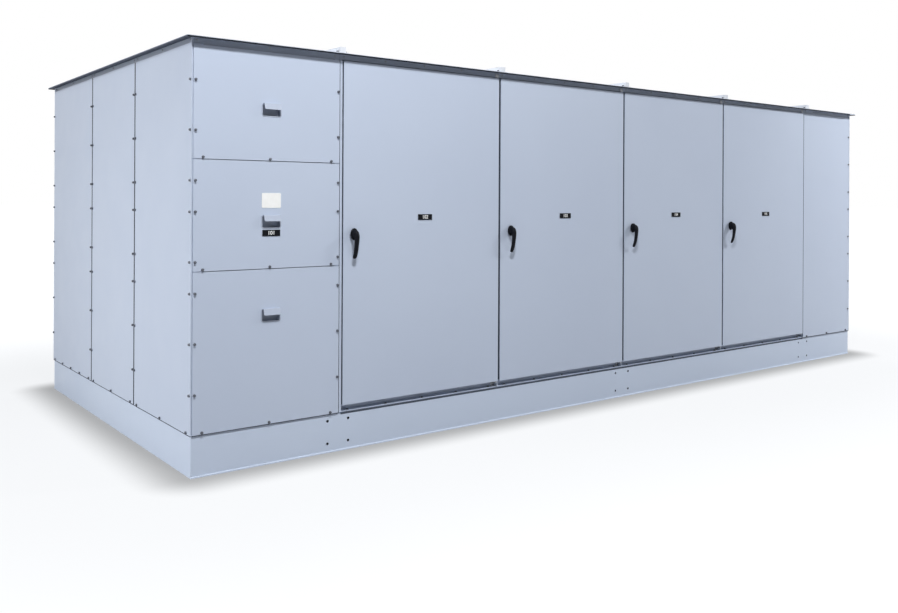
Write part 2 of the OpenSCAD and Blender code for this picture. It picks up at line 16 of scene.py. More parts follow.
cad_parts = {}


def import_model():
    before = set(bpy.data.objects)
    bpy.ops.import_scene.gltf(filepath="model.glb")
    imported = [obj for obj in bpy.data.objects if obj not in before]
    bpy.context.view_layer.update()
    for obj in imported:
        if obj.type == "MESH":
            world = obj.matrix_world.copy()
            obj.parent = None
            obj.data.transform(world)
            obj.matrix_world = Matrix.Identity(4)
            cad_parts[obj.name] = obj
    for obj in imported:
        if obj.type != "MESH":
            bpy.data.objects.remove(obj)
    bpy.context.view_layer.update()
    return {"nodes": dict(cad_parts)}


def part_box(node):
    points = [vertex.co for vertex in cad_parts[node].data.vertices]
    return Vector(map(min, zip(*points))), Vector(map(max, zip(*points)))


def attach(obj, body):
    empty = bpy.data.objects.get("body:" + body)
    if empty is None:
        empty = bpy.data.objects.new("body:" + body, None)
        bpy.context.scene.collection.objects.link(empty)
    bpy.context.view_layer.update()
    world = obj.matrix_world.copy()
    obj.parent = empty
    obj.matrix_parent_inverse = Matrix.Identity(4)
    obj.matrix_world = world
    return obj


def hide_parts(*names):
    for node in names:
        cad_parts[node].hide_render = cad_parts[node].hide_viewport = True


LOG = logging.getLogger("switchgear")
ENCLOSURE = "enclosure"
DOORS = 4
SECTIONS = DOORS + 2
END_PANELS = (1, 2, 3)
# Part of a unit normal past which a face points along an axis, and a sharp edge's face angle in radians
ALONG = 0.9
SHARP = 1.0

Colour = tuple[float, float, float]
FaceTest = Callable[[bmesh.types.BMFace], bool]
EdgeTest = Callable[[bmesh.types.BMEdge], bool]


def linear(red: int, green: int, blue: int) -> Colour:
    """Linear colour of three 8-bit sRGB values.

    Args:
        red: Red from 0 to 255.
        green: Green from 0 to 255.
        blue: Blue from 0 to 255.

    Returns:
        The colour as a shader takes it.
    """
    shares = (red / 255, green / 255, blue / 255)
    return tuple(s / 12.92 if s <= 0.04045 else ((s + 0.055) / 1.055) ** 2.4 for s in shares)


class Facing(Enum):
    """Direction that a fastener's head or a plate's face points to."""

    FRONT = (0, -1, 0)
    REAR = (0, 1, 0)
    LEFT = (-1, 0, 0)
    RIGHT = (1, 0, 0)
    UP = (0, 0, 1)

    def at(self, place: Sequence[float]) -> Matrix:
        """Matrix that turns +Z to this direction and moves the origin to the place.

        Args:
            place: Point on the surface that carries the fastener.

        Returns:
            The matrix for one copy.
        """
        turn = Vector((0, 0, 1)).rotation_difference(Vector(self.value))
        return Matrix.Translation(place) @ turn.to_matrix().to_4x4()


class Bench:
    """Modelling operators, used on one piece at a time."""

    @staticmethod
    def clear() -> None:
        """Go to object mode with nothing selected."""
        if bpy.context.object is not None and bpy.context.object.mode != "OBJECT":
            bpy.ops.object.mode_set(mode="OBJECT")
        bpy.ops.object.select_all(action="DESELECT")

    @staticmethod
    def take(piece: bpy.types.Object) -> None:
        """Make one piece the only selected and the active one.

        Args:
            piece: Piece to work on.
        """
        Bench.clear()
        piece.select_set(True)
        bpy.context.view_layer.objects.active = piece

    @staticmethod
    def named(name: str) -> bpy.types.Object:
        """Name the piece that was just added, with its place and size put into its mesh.

        Args:
            name: Name of the piece and of its mesh.

        Returns:
            The piece.
        """
        piece = bpy.context.object
        piece.name = name
        piece.data.name = name
        bpy.ops.object.transform_apply(location=True, rotation=True, scale=True)
        return piece

    @staticmethod
    def block(name: str, low: Sequence[float], high: Sequence[float]) -> bpy.types.Object:
        """Add a block between two corners.

        Args:
            name: Name of the piece.
            low: Lowest corner.
            high: Highest corner.

        Returns:
            The block, as the start of a piece.
        """
        Bench.clear()
        size = [b - a for a, b in zip(low, high)]
        middle = [(a + b) / 2 for a, b in zip(low, high)]
        bpy.ops.mesh.primitive_cube_add(size=1, location=middle, scale=size)
        return Bench.named(name)

    @staticmethod
    def disc(name: str, sides: int, radius: float, z0: float, z1: float) -> bpy.types.Object:
        """Add a disc about the Z axis between two heights.

        Args:
            name: Name of the piece.
            sides: Number of its sides.
            radius: Radius to its corners.
            z0: Height of its underside.
            z1: Height of its top.

        Returns:
            The disc, as the start of a piece.
        """
        Bench.clear()
        bpy.ops.mesh.primitive_cylinder_add(
            vertices=sides, radius=radius, depth=z1 - z0, location=(0, 0, (z0 + z1) / 2)
        )
        return Bench.named(name)

    @staticmethod
    def edit(piece: bpy.types.Object) -> None:
        """Open a piece in edit mode with nothing selected.

        Args:
            piece: Piece to open.
        """
        Bench.take(piece)
        bpy.ops.object.mode_set(mode="EDIT")
        bpy.ops.mesh.select_all(action="DESELECT")

    @staticmethod
    def done() -> None:
        """Go back to object mode."""
        bpy.ops.object.mode_set(mode="OBJECT")

    @staticmethod
    def pick(piece: bpy.types.Object, kind: str, test: FaceTest | EdgeTest) -> None:
        """Select the faces or edges that pass a test, in edit mode.

        Args:
            piece: Piece that is open in edit mode.
            kind: FACE or EDGE.
            test: Says whether a face or an edge is wanted.
        """
        bpy.ops.mesh.select_mode(type=kind)
        bpy.ops.mesh.select_all(action="DESELECT")
        shape = bmesh.from_edit_mesh(piece.data)
        for item in shape.faces if kind == "FACE" else shape.edges:
            item.select_set(test(item))
        bmesh.update_edit_mesh(piece.data)

    @staticmethod
    def faces(piece: bpy.types.Object, test: FaceTest) -> None:
        """Select the faces that pass a test."""
        Bench.pick(piece, "FACE", test)

    @staticmethod
    def edges(piece: bpy.types.Object, test: EdgeTest) -> None:
        """Select the edges that pass a test."""
        Bench.pick(piece, "EDGE", test)

    @staticmethod
    def modify(piece: bpy.types.Object, kind: str, **settings: object) -> None:
        """Add a modifier to a piece and apply it.

        Args:
            piece: Piece to change.
            kind: Name of the modifier's type.
            **settings: Values of the modifier's properties.
        """
        modifier = piece.modifiers.new(kind.lower(), kind)
        for key, value in settings.items():
            setattr(modifier, key, value)
        Bench.take(piece)
        bpy.ops.object.modifier_apply(modifier=modifier.name)

    @staticmethod
    def smooth(piece: bpy.types.Object, angle: float = math.radians(35)) -> None:
        """Shade a piece smooth, apart from edges sharper than the angle."""
        Bench.take(piece)
        bpy.ops.object.shade_smooth_by_angle(angle=angle)

    @staticmethod
    def joined(name: str, pieces: Sequence[bpy.types.Object]) -> bpy.types.Object:
        """Join several meshes into one piece.

        Args:
            name: Name of the joined piece.
            pieces: Meshes to join.

        Returns:
            The joined piece.
        """
        Bench.take(pieces[0])
        for piece in pieces[1:]:
            piece.select_set(True)
        if len(pieces) > 1:
            bpy.ops.object.join()
        pieces[0].name = name
        pieces[0].data.name = name
        return pieces[0]

    @staticmethod
    def copy(name: str, pattern: bpy.types.Object, place: Matrix) -> bpy.types.Object:
        """Copy a pattern with a mesh of its own, its place put into that mesh.

        Args:
            name: Name of the copy.
            pattern: Piece to copy.
            place: Matrix from the pattern's frame to the part's frame.

        Returns:
            The copy.
        """
        twin = pattern.copy()
        twin.data = pattern.data.copy()
        twin.data.transform(place)
        twin.name = name
        twin.data.name = name
        bpy.context.scene.collection.objects.link(twin)
        return twin

    @staticmethod
    def copies(name: str, pattern: bpy.types.Object, places: Iterable[Matrix]) -> bpy.types.Object:
        """Copy a pattern to many places, as one joined piece.

        Args:
            name: Name of the joined piece.
            pattern: Piece to copy.
            places: One matrix for each copy.

        Returns:
            The joined piece.
        """
        return Bench.joined(name, [Bench.copy(name, pattern, place) for place in places])


class NodeBoard:
    """One material's node tree, built node by node."""

    def __init__(self, name: str) -> None:
        """Start an empty tree with an output and Object coordinates.

        Args:
            name: Name of the material.
        """
        self.material = bpy.data.materials.new(name)
        self.material.use_nodes = True
        self.tree = self.material.node_tree
        self.tree.nodes.clear()
        self.output = self.tree.nodes.new("ShaderNodeOutputMaterial")
        self.place = self.tree.nodes.new("ShaderNodeTexCoord").outputs["Object"]

    def node(self, kind: str, **inputs: object) -> bpy.types.Node:
        """Add a node and set or link its inputs.

        Args:
            kind: Type of the node, without the ShaderNode prefix.
            **inputs: Values or output sockets, by the input's name with _ for a space.

        Returns:
            The node.
        """
        node = self.tree.nodes.new("ShaderNode" + kind)
        for key, value in inputs.items():
            self.feed(node.inputs[key.replace("_", " ")], value)
        return node

    def feed(self, socket: bpy.types.NodeSocket, value: object) -> None:
        """Link an output to a socket, or set the socket's own value.

        Args:
            socket: Input of a node.
            value: Output socket, number, vector or colour.
        """
        if isinstance(value, bpy.types.NodeSocket):
            self.tree.links.new(value, socket)
        elif isinstance(value, tuple) and len(value) == 3 and socket.type == "RGBA":
            socket.default_value = (*value, 1)
        else:
            socket.default_value = value

    def noise(self, scale: float, detail: int) -> bpy.types.NodeSocket:
        """Noise over the piece.

        Args:
            scale: Cycles a metre.
            detail: Number of finer layers.

        Returns:
            The noise's value.
        """
        return self.node("TexNoise", Vector=self.place, Scale=scale, Detail=detail).outputs["Fac"]

    def spread(
        self, value: bpy.types.NodeSocket, low: float = 0.0, high: float = 1.0, width: float = 0.25
    ) -> bpy.types.NodeSocket:
        """Map a noise's middle range to two limits.

        Args:
            value: Noise value, about 0.5 on average.
            low: Result at the lower end.
            high: Result at the upper end.
            width: Half of the range of the noise that is used.

        Returns:
            The mapped value.
        """
        limits = {"From_Min": 0.5 - width, "From_Max": 0.5 + width, "To_Min": low, "To_Max": high}
        return self.node("MapRange", Value=value, **limits).outputs["Result"]

    def blend(self, share: bpy.types.NodeSocket, first: object, second: object) -> bpy.types.NodeSocket:
        """Mix two colours.

        Args:
            share: Share of the second colour.
            first: Colour or socket.
            second: Colour or socket.

        Returns:
            The mixed colour.
        """
        node = self.tree.nodes.new("ShaderNodeMix")
        node.data_type = "RGBA"
        self.feed(node.inputs["Factor"], share)
        colours = [socket for socket in node.inputs if socket.type == "RGBA"]
        self.feed(colours[0], first)
        self.feed(colours[1], second)
        return next(socket for socket in node.outputs if socket.type == "RGBA")

    def bump(
        self, height: bpy.types.NodeSocket, depth: float, after: bpy.types.NodeSocket | None = None
    ) -> bpy.types.NodeSocket:
        """Bump from a height.

        Args:
            height: Height from 0 to 1.
            depth: Depth of the bump in metres.
            after: Normal of an earlier bump.

        Returns:
            The bumped normal.
        """
        node = self.node("Bump", Height=height, Strength=1.0, Distance=depth)
        if after is not None:
            self.feed(node.inputs["Normal"], after)
        return node.outputs["Normal"]

    def maths(self, kind: str, operation: str, *inputs: object) -> bpy.types.NodeOutputs:
        """Add a sum on numbers or vectors.

        Args:
            kind: Math or VectorMath.
            operation: Name of the sum.
            *inputs: Values or output sockets, in order.

        Returns:
            The outputs of the node.
        """
        node = self.tree.nodes.new("ShaderNode" + kind)
        node.operation = operation
        for socket, value in zip(node.inputs, inputs):
            self.feed(socket, value)
        return node.outputs

    def shade(self, **inputs: object) -> bpy.types.Material:
        """Close the tree with a Principled shader.

        Args:
            **inputs: Values or sockets of the shader, by name with _ for a space.

        Returns:
            The finished material.
        """
        shader = self.node("BsdfPrincipled", **inputs)
        self.tree.links.new(shader.outputs["BSDF"], self.output.inputs["Surface"])
        return self.material


@dataclass(frozen=True)
class PowderCoat:
    """Baked powder coat on sheet steel: broad tone drift, fine speckle, orange peel and slack sheet."""

    name: str
    light: Colour
    dark: Colour
    roughness: tuple[float, float] = (0.4, 0.5)
    drift_scale: float = 0.8
    speckle_scale: float = 900.0
    speckle_share: float = 0.06
    peel_scale: float = 300.0
    peel_depth: float = 0.00004
    slack_scale: float = 1.7
    slack_depth: float = 0.0012
    gloss_scale: float = 6.0

    def material(self) -> bpy.types.Material:
        """Build the finish as a material.

        Returns:
            The material.
        """
        board = NodeBoard(self.name)
        drift = board.spread(board.noise(self.drift_scale, detail=3))
        coat = board.blend(drift, self.dark, self.light)
        speckle = board.spread(board.noise(self.speckle_scale, detail=1), high=self.speckle_share)
        coat = board.blend(speckle, coat, self.dark)
        slack = board.bump(board.noise(self.slack_scale, detail=0), self.slack_depth)
        peel = board.bump(board.noise(self.peel_scale, detail=1), self.peel_depth, slack)
        gloss = board.spread(board.noise(self.gloss_scale, detail=3), *self.roughness)
        return board.shade(Base_Color=coat, Roughness=gloss, Normal=peel)


@dataclass(frozen=True)
class Moulded:
    """Moulded plastic or rubber with a fine sparked grain."""

    name: str
    colour: Colour
    worn: Colour
    roughness: tuple[float, float]
    grain_scale: float = 1600.0
    grain_depth: float = 0.00003
    rub_scale: float = 30.0
    rub_width: float = 0.3
    gloss_scale: float = 45.0
    specular: float = 0.08

    def material(self) -> bpy.types.Material:
        """Build the finish as a material.

        Returns:
            The material.
        """
        board = NodeBoard(self.name)
        rubbed = board.spread(board.noise(self.rub_scale, detail=4), width=self.rub_width)
        grain = board.bump(board.noise(self.grain_scale, detail=2), self.grain_depth)
        gloss = board.spread(board.noise(self.gloss_scale, detail=3), *self.roughness)
        return board.shade(
            Base_Color=board.blend(rubbed, self.colour, self.worn),
            Roughness=gloss,
            Specular_IOR_Level=self.specular,
            Normal=grain,
        )


@dataclass(frozen=True)
class Plated:
    """Zinc plating with a cloudy passivated tone."""

    name: str
    bright: Colour
    dull: Colour
    roughness: tuple[float, float] = (0.3, 0.48)
    cloud_scale: float = 120.0
    gloss_scale: float = 360.0
    scuff_scale: float = 900.0
    scuff_depth: float = 0.00002
    metallic: float = 1.0

    def material(self) -> bpy.types.Material:
        """Build the finish as a material.

        Returns:
            The material.
        """
        board = NodeBoard(self.name)
        cloud = board.spread(board.noise(self.cloud_scale, detail=4))
        gloss = board.spread(board.noise(self.gloss_scale, detail=2), *self.roughness)
        scuffs = board.bump(board.noise(self.scuff_scale, detail=2), self.scuff_depth)
        return board.shade(
            Base_Color=board.blend(cloud, self.bright, self.dull),
            Roughness=gloss,
            Metallic=self.metallic,
            Normal=scuffs,
        )


@dataclass(frozen=True)
class Laminate:
    """Engraving laminate, smooth with faint handling marks."""

    name: str
    colour: Colour
    smudge: Colour
    roughness: tuple[float, float] = (0.25, 0.4)
    smudge_scale: float = 40.0
    gloss_scale: float = 25.0
    specular: float = 0.08

    def material(self) -> bpy.types.Material:
        """Build the finish as a material.

        Returns:
            The material.
        """
        board = NodeBoard(self.name)
        smudge = board.spread(board.noise(self.smudge_scale, detail=4))
        gloss = board.spread(board.noise(self.gloss_scale, detail=3), *self.roughness)
        return board.shade(
            Base_Color=board.blend(smudge, self.colour, self.smudge),
            Roughness=gloss,
            Specular_IOR_Level=self.specular,
        )


class Finish(Enum):
    """Finishes of the line-up."""

    ENCLOSURE = PowderCoat("enclosure_paint", linear(188, 199, 217), linear(183, 194, 213))
    # Painted shade: the header rails take a darker copy of the enclosure paint, for the shade under the
    # roof's overhang.
    HEADER = PowderCoat("header_painted_shade", linear(156, 165, 180), linear(151, 160, 176))
    # Painted shade: the pull hoods take a darker copy of the enclosure paint, to cancel the extra light on
    # their upturned faces.
    SHADED_PULL = PowderCoat("pull_painted_shade", linear(170, 179, 195), linear(165, 174, 191))
    ROOF = PowderCoat("roof_paint", linear(196, 204, 218), linear(190, 199, 214), roughness=(0.62, 0.74))
    CAP = PowderCoat("cap_paint", linear(224, 229, 236), linear(218, 223, 232))
    BASE = PowderCoat("base_paint", linear(197, 209, 227), linear(192, 204, 223), roughness=(0.42, 0.54))
    HANDLE = Moulded("handle_black", linear(12, 14, 20), linear(18, 20, 27), (0.38, 0.5))
    # Black rubber of the door seals; the same finish is painted shade on the roof's front and rear edges,
    # over the end panels' seams and in the base rails' holes.
    SEAL_AND_SHADE = Moulded("seal_rubber_and_painted_shade", linear(26, 29, 37), linear(34, 37, 45), (0.6, 0.75), grain_scale=700.0)
    # Painted shade: dark strips in the door gaps, under and along the roof's end edges, at the panels'
    # feet, beside the joint and along the sills.
    SHADE_STRIP = Moulded(
        "strip_painted_shade", linear(74, 80, 93), linear(82, 88, 101), (0.6, 0.75), grain_scale=700.0
    )
    ZINC = Plated("zinc_steel", linear(160, 163, 169), linear(134, 137, 143), metallic=0.6)
    # Dull zinc of the bolts, darkened past the plating's own tone as painted shade on the heads.
    BOLT_AND_SHADE = Plated("bolt_steel_and_painted_shade", linear(96, 100, 110), linear(74, 78, 87), metallic=0.35)
    PLATE_BLACK = Laminate("plate_black", linear(14, 15, 19), linear(20, 21, 26))
    PLATE_WHITE = Laminate("plate_white", linear(247, 248, 247), linear(241, 242, 240))

    def of(self) -> bpy.types.Material:
        """The finish's material, built when it is first asked for."""
        return bpy.data.materials.get("look_" + self.value.name) or self._build()

    def _build(self) -> bpy.types.Material:
        """Build the material under a name that no packed material has.

        Returns:
            The material.
        """
        material = self.value.material()
        material.name = "look_" + self.value.name
        return material


@dataclass(frozen=True)
class Layout:
    """Main lines of the line-up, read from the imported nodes."""

    left: float
    right: float
    front: float
    rear: float
    frame_front: float
    base_top: float
    panel_top: float
    door_front: float
    joints: tuple[float, ...]
    end_seams: tuple[float, ...]

    @classmethod
    def read(cls) -> "Layout":
        """Read the lines from the frame.

        Returns:
            The line-up's main lines.
        """
        roofs = [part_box(f"roof_{i}") for i in range(1, SECTIONS + 1)]
        seams = [(a[1].x + b[0].x) / 2 for a, b in zip(roofs, roofs[1:])]
        ends = [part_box(f"left_panel_{n}") for n in END_PANELS]
        low_left, high_left = ends[0]
        return cls(
            left=low_left.x,
            right=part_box("right_panel_1")[1].x,
            front=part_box("lower_cover")[0].y,
            rear=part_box("rear_panels")[1].y,
            frame_front=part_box("base_front_rail")[0].y,
            base_top=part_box("base_front_rail")[1].z,
            panel_top=high_left.z,
            door_front=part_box("door_1")[0].y,
            joints=(low_left.x, *seams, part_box("right_panel_1")[1].x),
            end_seams=tuple((a[1].y + b[0].y) / 2 for a, b in zip(ends, ends[1:])),
        )


def dress(piece: bpy.types.Object, finish: Finish, body: str) -> bpy.types.Object:
    """Give a new piece its finish and the body that it moves with.

    Args:
        piece: Finished mesh, in place.
        finish: Its finish.
        body: Body that carries it.

    Returns:
        The piece.
    """
    piece.data.materials.clear()
    piece.data.materials.append(finish.of())
    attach(piece, body)
    LOG.info("%s rides %s with %d faces", piece.name, body, len(piece.data.polygons))
    return piece


@dataclass
class Fastener:
    """Hexagon head bolt on a plain washer, modelled about +Z on the surface at the origin."""

    across: float = 0.012
    head_h: float = 0.0065
    washer_r: float = 0.0078
    washer_t: float = 0.0016
    chamfer: float = 0.0012
    washer_sides: int = 14
    head_sides: int = 6

    def build(self) -> bpy.types.Object:
        """Model the bolt once, as a pattern.

        Returns:
            The bolt on its washer.
        """
        washer = Bench.disc("bolt_washer", self.washer_sides, self.washer_r, 0, self.washer_t)
        Bench.edit(washer)
        Bench.faces(washer, lambda face: face.normal.z > ALONG)
        bpy.ops.mesh.inset(thickness=self.chamfer / 2, depth=self.chamfer / 4)
        Bench.faces(washer, lambda face: face.normal.z < -ALONG)
        bpy.ops.mesh.delete(type="FACE")
        Bench.done()
        corner_r, top = self.across / math.sqrt(3), self.washer_t + self.head_h
        head = Bench.disc("bolt_head", self.head_sides, corner_r, self.washer_t, top)
        Bench.edit(head)
        Bench.faces(head, lambda face: face.normal.z > ALONG)
        bpy.ops.mesh.inset(thickness=self.chamfer, depth=self.chamfer / 2)
        bpy.ops.mesh.inset(thickness=self.chamfer * 2, depth=-self.chamfer / 3)
        Bench.faces(head, lambda face: face.normal.z < -ALONG)
        bpy.ops.mesh.delete(type="FACE")
        Bench.done()
        return Bench.joined("bolt_pattern", [washer, head])


class Uprights(Enum):
    """Upright edges of a panel that are bolted."""

    BOTH = ("low", "high")
    HIGH = ("high",)


@dataclass
class PanelBolts:
    """Bolts round the bolted covers and panels, at the same heights on every upright edge."""

    layout: Layout
    pattern: bpy.types.Object
    edge_in: float = 0.0125
    joint_in: float = 0.009
    foot_in: float = 0.054
    foot_rise: float = 0.0085
    row_steps: tuple[float, ...] = (0.1915, 0.264, 0.264, 0.165, 0.264, 0.165, 0.264, 0.267)
    cover_feet: int = 3
    end_feet: tuple[int, ...] = (3, 3, 5)
    rear_feet: int = 4

    def rows(self) -> list[float]:
        """Heights of the bolts on an upright edge.

        Returns:
            The heights, from the top down.
        """
        heights = [self.layout.panel_top]
        for step in self.row_steps:
            heights.append(heights[-1] - step)
        return heights[1:]

    def face(
        self,
        low: Vector,
        high: Vector,
        facing: Facing,
        foot_count: int,
        sides: Uprights = Uprights.BOTH,
        high_in: float | None = None,
    ) -> list[Matrix]:
        """Places of one panel's bolts.

        Args:
            low: Panel's lowest corner.
            high: Panel's highest corner.
            facing: Side that the panel faces.
            foot_count: Bolts along its lower edge.
            sides: Upright edges with bolts.
            high_in: Distance of the bolts from the high edge, where it differs.

        Returns:
            One matrix for each bolt.
        """
        along = 0 if facing in (Facing.FRONT, Facing.REAR) else 1
        across = 1 - along
        surface = low[across] if facing in (Facing.FRONT, Facing.LEFT) else high[across]
        edges = {"low": low[along] + self.edge_in, "high": high[along] - (high_in or self.edge_in)}
        spots = [(edges[side], z) for side in sides.value for z in self.rows() if low.z < z < high.z]
        run = high[along] - low[along] - 2 * self.foot_in
        for i in range(foot_count):
            spots.append((low[along] + self.foot_in + run * i / (foot_count - 1), low.z + self.foot_rise))
        places = []
        for s, z in spots:
            point = Vector((0, 0, z))
            point[along] = s
            point[across] = surface
            places.append(facing.at(point))
        return places

    def build(self) -> None:
        """Make one joined piece of bolts for each side of the line-up."""
        covers = []
        for name in ("lower_cover", "middle_cover", "upper_cover"):
            covers += self.face(*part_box(name), Facing.FRONT, self.cover_feet, high_in=self.joint_in)
        covers += self.face(*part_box("end_cover"), Facing.FRONT, self.cover_feet, Uprights.HIGH)
        lefts, rights, rears = [], [], []
        for n, count in zip(END_PANELS, self.end_feet):
            lefts += self.face(*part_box(f"left_panel_{n}"), Facing.LEFT, count)
            rights += self.face(*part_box(f"right_panel_{n}"), Facing.RIGHT, count)
        low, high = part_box("rear_panels")
        for a, b in zip(self.layout.joints, self.layout.joints[1:]):
            corner_low = Vector((max(a, low.x), low.y, low.z))
            corner_high = Vector((min(b, high.x), high.y, high.z))
            rears += self.face(corner_low, corner_high, Facing.REAR, self.rear_feet)
        groups = {"cover_bolts": covers, "left_bolts": lefts, "right_bolts": rights, "rear_bolts": rears}
        for name, places in groups.items():
            dress(Bench.copies(name, self.pattern, places), Finish.BOLT_AND_SHADE, ENCLOSURE)


@dataclass
class SillBolts:
    """Bolts down through the folded foot of each door sill."""

    layout: Layout
    pattern: bpy.types.Object
    first: float = 0.071
    count: int = 5
    back: float = 0.014

    def build(self) -> None:
        """Make the bolts of all the sills as one joined piece."""
        foot_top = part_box("hinge_brackets")[0].z
        y = self.layout.frame_front + self.back
        places = []
        for k in range(1, DOORS + 1):
            x0 = self.layout.joints[k] + self.first
            step = (self.layout.joints[k + 1] - self.first - x0) / (self.count - 1)
            places += [Facing.UP.at((x0 + step * i, y, foot_top)) for i in range(self.count)]
        dress(Bench.copies("sill_bolts", self.pattern, places), Finish.BOLT_AND_SHADE, ENCLOSURE)


@dataclass
class EaveBolts:
    """Bolts along the header rails under the roof's edge, close together at the panel seams."""

    layout: Layout
    pattern: bpy.types.Object
    door_pitch: float = 0.3
    cover_pitch: float = 0.415
    end_pitch: float = 0.44
    seam_pair: float = 0.03
    above_panel: float = 0.017

    def line(self, start: float, end: float, pitch: float) -> list[float]:
        """Places along one rail, evenly spaced near the pitch.

        Args:
            start: Seam at one end.
            end: Seam at the other end.
            pitch: Wanted distance between bolts.

        Returns:
            Distances along the axis of the rail.
        """
        first, last = start + self.seam_pair, end - self.seam_pair
        steps = max(1, round((last - first) / pitch))
        return [first + (last - first) * i / steps for i in range(steps + 1)]

    def build(self) -> None:
        """Make the bolts of the four rails as one joined piece."""
        z = self.layout.panel_top + self.above_panel
        seams = (self.layout.front, *self.layout.end_seams, self.layout.rear)
        places = []
        for a, b in zip(seams, seams[1:]):
            for y in self.line(a, b, self.end_pitch):
                places.append(Facing.LEFT.at((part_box("left_header")[0].x, y, z)))
                places.append(Facing.RIGHT.at((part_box("right_header")[1].x, y, z)))
        for i, (a, b) in enumerate(zip(self.layout.joints, self.layout.joints[1:])):
            for x in self.line(a, b, self.door_pitch if 0 < i <= DOORS else self.cover_pitch):
                places.append(Facing.FRONT.at((x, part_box("front_header")[0].y, z)))
                places.append(Facing.REAR.at((x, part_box("rear_header")[1].y, z)))
        dress(Bench.copies("eave_bolts", self.pattern, places), Finish.ZINC, ENCLOSURE)


@dataclass
class CapBolts:
    """Bolts through the flanges of the roof's seam caps."""

    layout: Layout
    pattern: bpy.types.Object
    flange_in: float = 0.008
    end_in: float = 0.02
    pitch: float = 0.35
    sheet_t: float = 0.003

    def build(self) -> None:
        """Make the bolts of all the caps as one joined piece."""
        low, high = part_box("roof_caps")
        half = self.layout.joints[1] - low.x - self.flange_in
        run = high.y - low.y - 2 * self.end_in
        steps = round(run / self.pitch)
        places = []
        for x in self.layout.joints[1:-1]:
            for i in range(steps + 1):
                y = low.y + self.end_in + run * i / steps
                places += [Facing.UP.at((x + side * half, y, low.z + self.sheet_t)) for side in (-1, 1)]
        dress(Bench.copies("cap_bolts", self.pattern, places), Finish.BOLT_AND_SHADE, ENCLOSURE)


@dataclass
class NumberPlates:
    """Engraved black plates with a plain section number, and a blank white plate above the first one."""

    layout: Layout
    width: float = 0.107
    height: float = 0.035
    thickness: float = 0.0024
    corner_r: float = 0.002
    bevel: float = 0.0006
    digit_h: float = 0.021
    digit_share: float = 0.7
    digit_swell: float = 0.0005
    first_number: int = 101
    door_z: float = 1.356
    cover_z: float = 1.276
    blank_w: float = 0.115
    blank_h: float = 0.082
    blank_t: float = 0.0012
    blank_corner_r: float = 0.007
    blank_z: float = 1.455

    def plate(self, name: str, centre: Vector, w: float, h: float, t: float, r: float) -> bpy.types.Object:
        """Model a plate with round corners and a bevelled face.

        Args:
            name: Name of the plate.
            centre: Middle of the plate's back, on the sheet that carries it.
            w: Width.
            h: Height.
            t: Thickness.
            r: Radius of its corners.

        Returns:
            The plate.
        """
        half = Vector((w / 2, 0, h / 2))
        plate = Bench.block(name, centre - half - Vector((0, t, 0)), centre + half)
        Bench.edit(plate)
        Bench.edges(plate, lambda edge: abs((edge.verts[0].co - edge.verts[1].co).y) > t / 2)
        bpy.ops.mesh.bevel(offset=r, segments=4, affect="EDGES")
        Bench.faces(plate, lambda face: face.normal.y < -ALONG)
        bpy.ops.mesh.inset(thickness=self.bevel, depth=self.bevel / 2)
        Bench.done()
        return plate

    def digit(self, name: str, text: str, centre: Vector) -> bpy.types.Object:
        """Model a plain number as a thin raised inlay on a plate's face.

        Args:
            name: Name of the piece.
            text: The number.
            centre: Middle of the number on the face.

        Returns:
            The number as a mesh, in place.
        """
        Bench.clear()
        bpy.ops.object.text_add(location=centre, rotation=(math.pi / 2, 0, 0))
        letters = bpy.context.object
        letters.data.body = text
        letters.data.size = self.digit_h / self.digit_share
        letters.data.offset = self.digit_swell
        letters.data.align_x = "CENTER"
        letters.data.align_y = "CENTER"
        letters.data.extrude = self.bevel / 4
        bpy.ops.object.convert(target="MESH")
        return Bench.named(name)

    def build(self) -> None:
        """Make all the plates and their numbers."""
        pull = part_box("middle_pull")
        centre = Vector(((pull[0].x + pull[1].x) / 2, self.layout.front, 0))
        sizes = (self.blank_w, self.blank_h, self.blank_t, self.blank_corner_r)
        blank = self.plate("blank_plate", centre + Vector((0, 0, self.blank_z)), *sizes)
        dress(blank, Finish.PLATE_WHITE, ENCLOSURE)
        self.numbered(1, centre + Vector((0, 0, self.cover_z)), ENCLOSURE)
        for k in range(1, DOORS + 1):
            middle = (self.layout.joints[k] + self.layout.joints[k + 1]) / 2
            self.numbered(k + 1, Vector((middle, self.layout.door_front, self.door_z)), f"door_{k}")

    def numbered(self, number: int, centre: Vector, body: str) -> None:
        """Make one plate with its number.

        Args:
            number: Section number.
            centre: Middle of the plate's back.
            body: Body that carries the plate.
        """
        sizes = (self.width, self.height, self.thickness, self.corner_r)
        dress(self.plate(f"number_plate_{number}", centre, *sizes), Finish.PLATE_BLACK, body)
        face = centre - Vector((0, self.thickness + self.bevel / 2, 0))
        text = str(self.first_number + number - 1)
        dress(self.digit(f"number_{number}", text, face), Finish.PLATE_WHITE, body)


